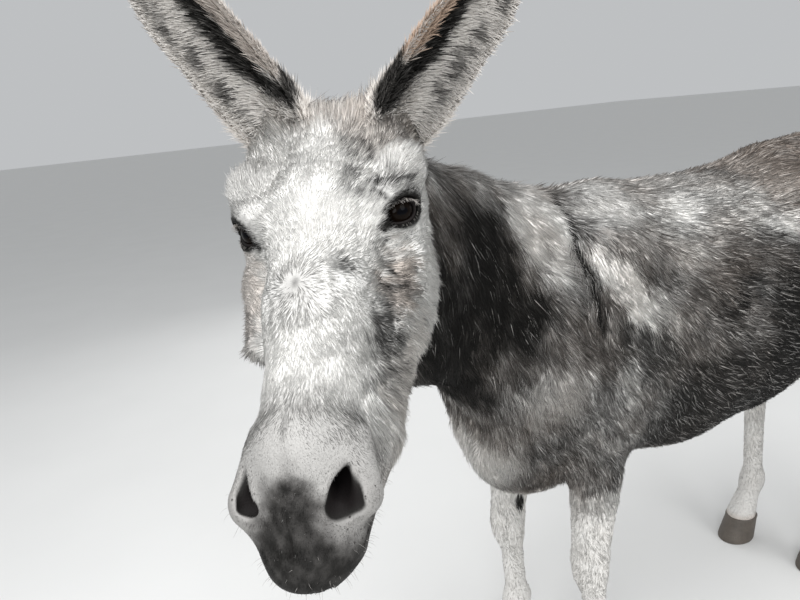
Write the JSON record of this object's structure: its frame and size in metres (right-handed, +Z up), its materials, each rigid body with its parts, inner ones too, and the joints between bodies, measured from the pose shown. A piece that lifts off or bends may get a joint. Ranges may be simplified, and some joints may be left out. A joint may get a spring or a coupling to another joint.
{
  "type": "donkey",
  "caption": "Life-size still model of a standing grey roan donkey, head turned to its left, long ears up, with a white blaze, dark eyes, a tufted tail and small upright hooves.",
  "frame": {"origin": "on the floor, under the middle of the animal's bounding box", "axes": "+Z up, the body faces -Y with the tail towards +Y, +X is the animal's left"},
  "size_m": [0.7148, 1.6078, 1.3594],
  "materials": {
    "coat_grey": "matte",
    "coat_pale": "matte",
    "coat_dark": "matte",
    "horn": "satin",
    "eye": "gloss"
  },
  "bodies": {
    "root": {"head": "coat_pale", "lower_lip": "coat_pale", "ear_left": "coat_pale", "ear_right": "coat_pale", "eye_left": "eye", "eye_right": "eye", "neck": "coat_dark", "shoulders": "coat_grey", "barrel": "coat_grey", "hindquarters": "coat_grey", "tail_dock": "coat_grey", "tail_switch": "coat_dark", "foreleg_left": "coat_grey", "foreleg_right": "coat_grey", "hindleg_left": "coat_grey", "hindleg_right": "coat_grey", "fore_cannon_left": "coat_pale", "fore_cannon_right": "coat_pale", "hind_cannon_left": "coat_pale", "hind_cannon_right": "coat_pale", "hoof_fore_left": "horn", "hoof_fore_right": "horn", "hoof_hind_left": "horn", "hoof_hind_right": "horn"}
  },
  "joints": []
}
